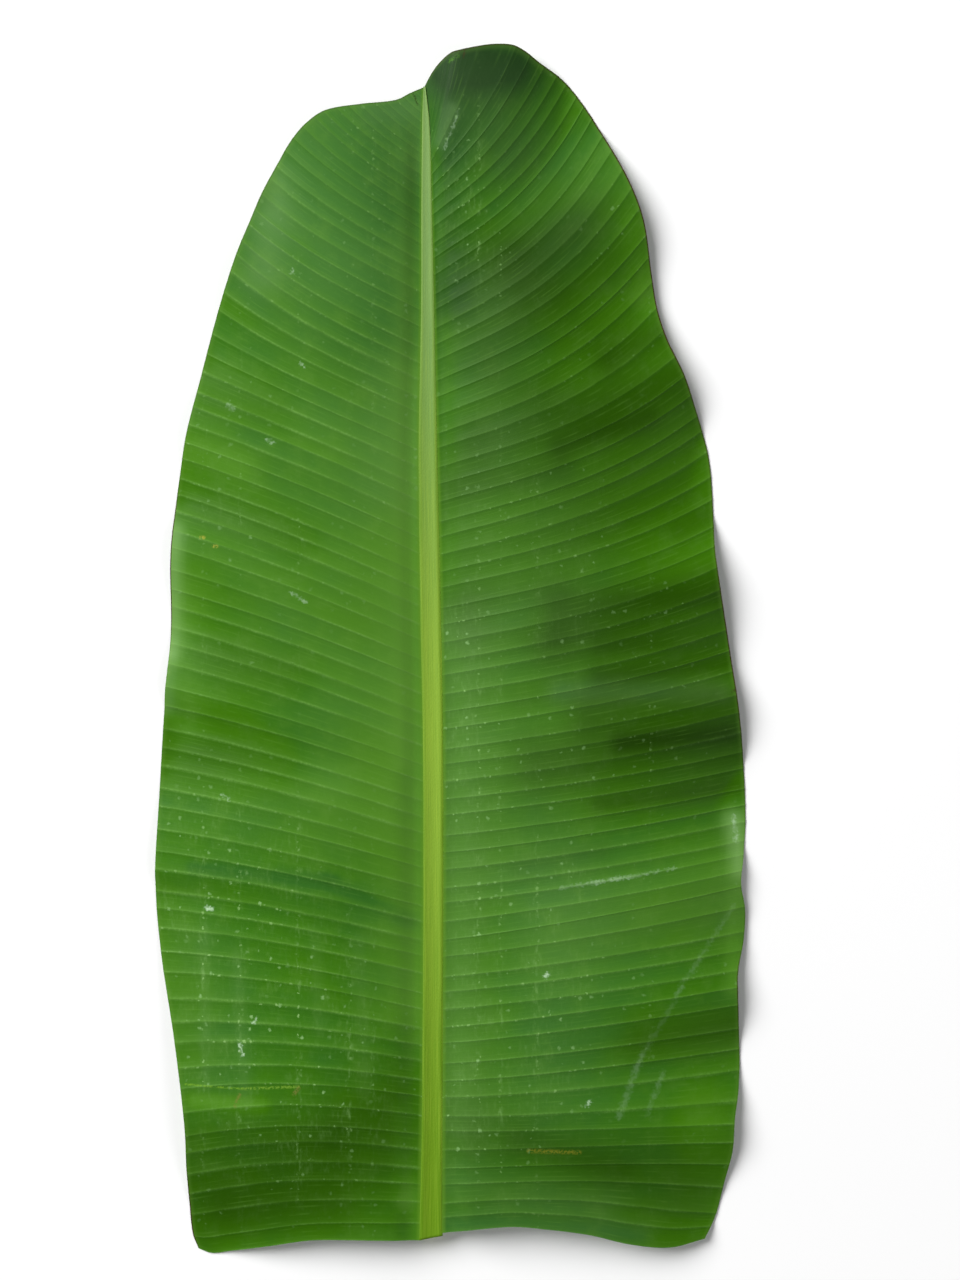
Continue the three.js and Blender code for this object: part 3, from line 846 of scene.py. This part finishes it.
def upper_skin(name, faint_from, vein_strength, groove_shade, crease_places, scratches, blemishes):
    """Glossy green skin; the lines of its main veins grow faint from one vein on, each beside a furrow of
    painted shade.
    """
    material, tree = new_material(name)
    vein, run, edge = drawn(tree, "vein"), drawn(tree, "from_midrib"), drawn(tree, "from_margin")
    painted_shade_and_light, warmth, painted_sheen = drawn(tree, "painted_shade_and_light"), drawn(tree, "warmth"), drawn(tree, "painted_sheen")
    browned, dust = drawn(tree, "browned"), drawn(tree, "dust")
    where = place(tree)
    share = reckon(tree, "FRACT", vein)
    strip = reckon(tree, "FLOOR", vein)
    strip_place = flat(tree, reckon(tree, "MULTIPLY", run, 0.011), reckon(tree, "MULTIPLY", strip, 3.7))
    strip_cloud = cloud(tree, strip_place, 1.0, 2.0)
    grain_place = flat(tree, reckon(tree, "MULTIPLY", run, 0.02), vein)
    grain = cloud(tree, grain_place, 9.0, 5.0, 0.62)
    mottle = cloud(tree, where, 14.0, 4.0, 0.6)
    patches = cloud(tree, where, 55.0, 4.0, 0.62)

    # The green, cooler or warmer by strips and patches, with painted light and painted shade on the two
    # slopes between veins
    patch_warmth = reckon(tree, "MULTIPLY_ADD", mottle, 1.15, warmth)
    leaning = reckon(tree, "MULTIPLY_ADD", strip_cloud, 0.85, patch_warmth)
    colour = tint(tree, between(tree, leaning, 0.5, 1.3), COOL_GREEN, WARM_GREEN)
    colour = tint(tree, between(tree, patches, 0.48, 0.72, 0.0, 0.4), colour, PATCH_GREEN)
    colour = tint(tree, between(tree, grain, 0.5, 0.25, 0.0, 0.16), colour, DARK_GRAIN)
    colour = tint(tree, between(tree, grain, 0.5, 0.8, 0.0, 0.12), colour, LIGHT_GRAIN)
    # Painted shade towards the next vein, deepest in the furrow just before it, and painted light just past
    # each vein
    colour = tint(tree, between(tree, share, 0.4, 0.97, 0.0, 0.22), colour, PAINTED_SLOPE_SHADE)
    colour = tint(tree, between(tree, share, 0.84, 0.98, 0.0, groove_shade), colour, PAINTED_GROOVE_SHADE)
    colour = tint(tree, between(tree, share, 0.4, 0.03, 0.0, 0.2), colour, PAINTED_SLOPE_LIGHT)
    # Painted shade and painted light of the soft marks: darker and brighter greens where the waves and folds
    # would be shaded or lit
    painted_shade_colour = tint(tree, between(tree, warmth, -0.5, 0.0), COOL_SHADE, WARM_SHADE)
    colour = tint(tree, evenly(tree, painted_shade_and_light, 0.0, -1.0), colour, painted_shade_colour)
    colour = tint(tree, evenly(tree, painted_shade_and_light, 0.0, 1.0), colour, PAINTED_LIGHT_GREEN)

    # The pale lines of the veins, broken and faded, then painted sheen, and the paler seam and margin
    main, fine = vein_lines(tree, vein)
    fading_place = flat(tree, reckon(tree, "MULTIPLY", run, 0.03), reckon(tree, "MULTIPLY", vein, 1.9))
    fading = cloud(tree, fading_place, 1.0, 3.0)
    in_tip = between(tree, vein, faint_from, LAST_PLEAT, 1.0, 0.1)
    beads = between(tree, cloud(tree, where, 520.0, 2.0), 0.4, 0.62, 0.55, 1.0)
    shown = reckon(tree, "MULTIPLY", between(tree, fading, 0.3, 0.7, 0.08, vein_strength), in_tip)
    shown = reckon(tree, "MULTIPLY", shown, beads)
    shown = reckon(tree, "MULTIPLY", shown, evenly(tree, painted_shade_and_light, -0.5, 0.0, 0.35, 1.0))
    colour = tint(tree, reckon(tree, "MULTIPLY", main, shown), colour, MAIN_VEIN)
    fine_strength = between(tree, cloud(tree, grain_place, 2.3, 2.0), 0.45, 0.7, 0.0, 0.13)
    colour = tint(tree, reckon(tree, "MULTIPLY", fine, fine_strength), colour, FINE_VEIN)
    # Painted sheen: a pale grey-green laid on wherever the soft marks call for it
    colour = tint(tree, reckon(tree, "MULTIPLY", painted_sheen, 0.6), colour, PAINTED_SHEEN_GREEN)
    # Paler within a few mm of the midrib: partly the pale band where the blade joins it, partly painted
    # light over the shade of the crevice
    colour = tint(tree, between(tree, run, 3.2, 0.2, 0.0, 0.6), colour, PALE_SEAM_AND_PAINTED_LIGHT)
    # Paler within a few mm of the margin: partly the leaf's own paler edge, partly painted light over the
    # shade where the margin droops
    colour = tint(tree, between(tree, edge, 4.0, 0.8, 0.0, 0.12), colour, PALE_MARGIN_AND_PAINTED_LIGHT)

    # Rubbed streaks, strongest on the creases, and pale specks of dust, smaller along veins and creases
    across = shade(tree, "ShaderNodeSeparateXYZ", {0: where}).outputs[0]
    folds = creases(tree, across, [at + CUT_PLACE.x for at in crease_places])
    stretched = reckon_place(tree, "MULTIPLY", where, (420, 130, 0))
    streaks = between(tree, cloud(tree, stretched, 1.0, 3.0, 0.6), 0.45, 0.75)
    worn = between(tree, dust, 0.0, 0.6, 0.12, 1.0)
    rubbed = reckon(tree, "MULTIPLY", between(tree, patches, 0.42, 0.66, 0.1, 0.45), worn)
    rubbed = reckon(tree, "MULTIPLY", reckon(tree, "MULTIPLY_ADD", folds, 0.8, 0.35), rubbed)
    colour = tint(tree, reckon(tree, "MULTIPLY", rubbed, streaks), colour, RUBBED)
    fray_noise = shade(tree, "ShaderNodeTexNoise", {"Vector": where, "Scale": 450.0, "Detail": 1.0})
    frayed = fray_noise.outputs["Color"]
    light_dust = evenly(tree, cloud(tree, where, 11.0, 2.0), 0.45, 0.65, 0.03, 0.26)
    dusty = reckon(tree, "MULTIPLY_ADD", dust, 0.8, light_dust)
    blots = specks(tree, where, frayed, spacing=7.0, radius=1.9, share_shown=0.75)
    colour = tint(tree, reckon(tree, "MULTIPLY", blots, dusty), colour, PALE_BLOT)
    by_line = reckon(tree, "MAXIMUM", folds, between(tree, main, 0.1, 0.8))
    dots = specks(tree, where, frayed, spacing=3.6, radius=1.5, share_shown=0.85)
    dots = reckon(tree, "MULTIPLY", dots, reckon(tree, "MULTIPLY", by_line, dusty))
    colour = tint(tree, dots, colour, PALE_DOT)

    # Scratches with frayed sides, then small stains
    off_centre = reckon_place(tree, "SUBTRACT", frayed, (0.5, 0.5, 0.5))
    shift = reckon_place(tree, "SCALE", off_centre, SCRATCH_FRAYING * MM)
    rough_place = reckon_place(tree, "ADD", where, shift)
    broken = between(tree, cloud(tree, where, 260.0, 3.0), 0.36, 0.6, 0.25, 1.0)
    for start, end, width, strength in scratches:
        graze = reckon(tree, "MULTIPLY", scratch(tree, rough_place, start, end, width), broken)
        colour = tint(tree, reckon(tree, "MULTIPLY", graze, strength), colour, PALE_SCRATCH)
    ragged = between(tree, cloud(tree, where, 700.0, 2.0, 0.7), 0.4, 0.55)
    for start, end, width, stain in blemishes:
        spot = reckon(tree, "MULTIPLY", scratch(tree, where, start, end, width), ragged)
        colour = tint(tree, reckon(tree, "MULTIPLY", spot, 0.7), colour, hue(*stain))

    dried = reckon(tree, "MULTIPLY", between(tree, edge, 1.0, 0.4), browned)
    colour = tint(tree, dried, colour, DRIED_BROWN)
    relief = reckon(tree, "MULTIPLY_ADD", fine, 0.45, grain)
    rough = between(tree, patches, 0.3, 0.7, 0.36, 0.44)
    finish_surface(tree, colour, rough, relief, 0.04 * MM, Specular_IOR_Level=0.045)
    return material


UNDERSIDE_GREEN = hue(92, 138, 70)
UNDERSIDE_BLOOM = hue(132, 164, 118)
UNDERSIDE_MAIN_VEIN = hue(152, 182, 112)
UNDERSIDE_FINE_VEIN = hue(84, 132, 60)
RIM_GREEN = hue(92, 132, 48)
RIM_DARK_BROWN = hue(52, 34, 26)
RIM_LIGHT_BROWN = hue(96, 74, 36)


def underside_skin(name):
    """Paler green under a waxy bloom, with the main veins lighter and the fine veins darker."""
    material, tree = new_material(name)
    vein, run = drawn(tree, "vein"), drawn(tree, "from_midrib")
    grain = cloud(tree, flat(tree, reckon(tree, "MULTIPLY", run, 0.02), vein), 9.0, 5.0, 0.62)
    bloom = cloud(tree, place(tree), 20.0, 4.0, 0.6)
    colour = tint(tree, between(tree, bloom, 0.35, 0.7), UNDERSIDE_GREEN, UNDERSIDE_BLOOM)
    main, fine = vein_lines(tree, vein)
    colour = tint(tree, reckon(tree, "MULTIPLY", main, 0.7), colour, UNDERSIDE_MAIN_VEIN)
    colour = tint(tree, reckon(tree, "MULTIPLY", fine, 0.3), colour, UNDERSIDE_FINE_VEIN)
    relief = reckon(tree, "MULTIPLY_ADD", fine, 0.45, grain)
    rough = between(tree, bloom, 0.3, 0.7, 0.55, 0.7)
    finish_surface(tree, colour, rough, relief, 0.2 * MM, Specular_IOR_Level=0.3)
    return material


def rim_skin(name):
    """The sheet's edge: dried brown at the margin, and green at the cut and beside the midrib."""
    material, tree = new_material(name)
    edge = drawn(tree, "from_margin")
    dried = cloud(tree, place(tree), 120.0, 3.0)
    brown = tint(tree, between(tree, dried, 0.35, 0.65), RIM_DARK_BROWN, RIM_LIGHT_BROWN)
    colour = tint(tree, between(tree, edge, 1.5, 0.5), RIM_GREEN, brown)
    rough = between(tree, dried, 0.3, 0.7, 0.6, 0.8)
    finish_surface(tree, colour, rough, dried, 0.1 * MM, Specular_IOR_Level=0.3)
    return material


leaf_blade_right = make_blade(
    "leaf_blade_right",
    sign=1,
    veins=RIGHT_VEINS,
    cut=RIGHT_CUT,
    crest=RIGHT_CREST,
    waves=RIGHT_WAVES,
    phase=0.4,
    marks=RIGHT_PAINTED_LIGHT_TINT_DUST_MARKS,
    browning=RIGHT_BROWNING,
)
leaf_blade_left = make_blade(
    "leaf_blade_left",
    sign=-1,
    veins=LEFT_VEINS,
    cut=LEFT_CUT,
    crest=LEFT_CREST,
    waves=LEFT_WAVES,
    phase=2.1,
    marks=LEFT_PAINTED_LIGHT_TINT_DUST_MARKS,
    browning=LEFT_BROWNING,
)
skin_right = upper_skin(
    "upper_skin_right",
    faint_from=6.0,
    vein_strength=0.4,
    groove_shade=0.26,
    crease_places=RIGHT_CREASES,
    scratches=RIGHT_SCRATCHES,
    blemishes=RIGHT_BLEMISHES,
)
skin_left = upper_skin(
    "upper_skin_left",
    faint_from=46.0,
    vein_strength=0.52,
    groove_shade=0.06,
    crease_places=LEFT_CREASES,
    scratches=LEFT_SCRATCHES,
    blemishes=LEFT_BLEMISHES,
)
underside = underside_skin("underside")
margin = rim_skin("margin")
for half, skin in ((leaf_blade_right, skin_right), (leaf_blade_left, skin_left)):
    half.data.materials.append(skin)
    half.data.materials.append(underside)
    half.data.materials.append(margin)
    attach(half, "root")
    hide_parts("blade")

# Studio: a pale round floor that the leaf lies on, surroundings that are bright low down and dim overhead, a
# broad soft light from the upper left and a dim fill, and a camera that looks straight down, with the leaf a
# little left of the middle of the picture.

FLOOR_RADIUS = 2.0
FLOOR_GAP = 0.2 * MM
FLOOR_GREY = (0.93, 0.93, 0.93, 1)
FLOOR_WHITE = (0.95, 0.95, 0.95, 1)
bpy.ops.mesh.primitive_circle_add(
    vertices=128, radius=FLOOR_RADIUS, fill_type="NGON", location=(0, 0, -FLOOR_GAP)
)
floor = bpy.context.object
floor.name = "floor"
paper, paper_tree = new_material("pale_floor")
paper_cloud = cloud(paper_tree, place(paper_tree), 3.0)
paper_colour = tint(paper_tree, paper_cloud, FLOOR_GREY, FLOOR_WHITE)
finish_surface(paper_tree, paper_colour, 0.9, paper_cloud, 0.01 * MM, Specular_IOR_Level=0.1)
floor.data.materials.append(paper)


def soft_light(name, size, power, direction, distance):
    """A round light that faces the leaf from one side."""
    lamp = bpy.data.lights.new(name, "AREA")
    lamp.shape = "DISK"
    lamp.size = size
    lamp.energy = power
    holder = bpy.data.objects.new(name, lamp)
    holder.location = Vector(direction).normalized() * distance
    holder.rotation_mode = "QUATERNION"
    holder.rotation_quaternion = Vector(direction).to_track_quat("Z", "Y")
    bpy.context.collection.objects.link(holder)


soft_light("key_light", size=6.0, power=960, direction=(-0.8, 0.6, 0.82), distance=8.0)
soft_light("fill_light", size=4.0, power=110, direction=(0.9, -0.5, 0.8), distance=8.0)

LOW_LIGHT = 0.93
OVERHEAD_LIGHT = 0.15
world = bpy.data.worlds.new("studio")
world.use_nodes = True
walls = world.node_tree
backdrop = walls.nodes["Background"]
backdrop.inputs["Color"].default_value = (1, 1, 1, 1)
direction = shade(walls, "ShaderNodeTexCoord").outputs["Generated"]
steepness = shade(walls, "ShaderNodeSeparateXYZ", {0: direction}).outputs[2]
wall_light = between(walls, steepness, 0.06, 0.3, LOW_LIGHT, OVERHEAD_LIGHT)
walls.links.new(wall_light, backdrop.inputs["Strength"])
bpy.context.scene.world = world
bpy.context.scene.view_settings.view_transform = "Standard"

PICTURE_HEIGHT = 0.8666
PICTURE_CENTRE = Vector((0.02, 0.0064, 0.012))
CAMERA_HEIGHT = 1.9
SENSOR = 36.0
camera_data = bpy.data.cameras.new("camera")
camera_data.sensor_width = SENSOR
camera_data.lens = SENSOR * CAMERA_HEIGHT / PICTURE_HEIGHT
camera = bpy.data.objects.new("camera", camera_data)
camera.location = PICTURE_CENTRE + Vector((0, 0, CAMERA_HEIGHT))
bpy.context.collection.objects.link(camera)
bpy.context.scene.camera = camera
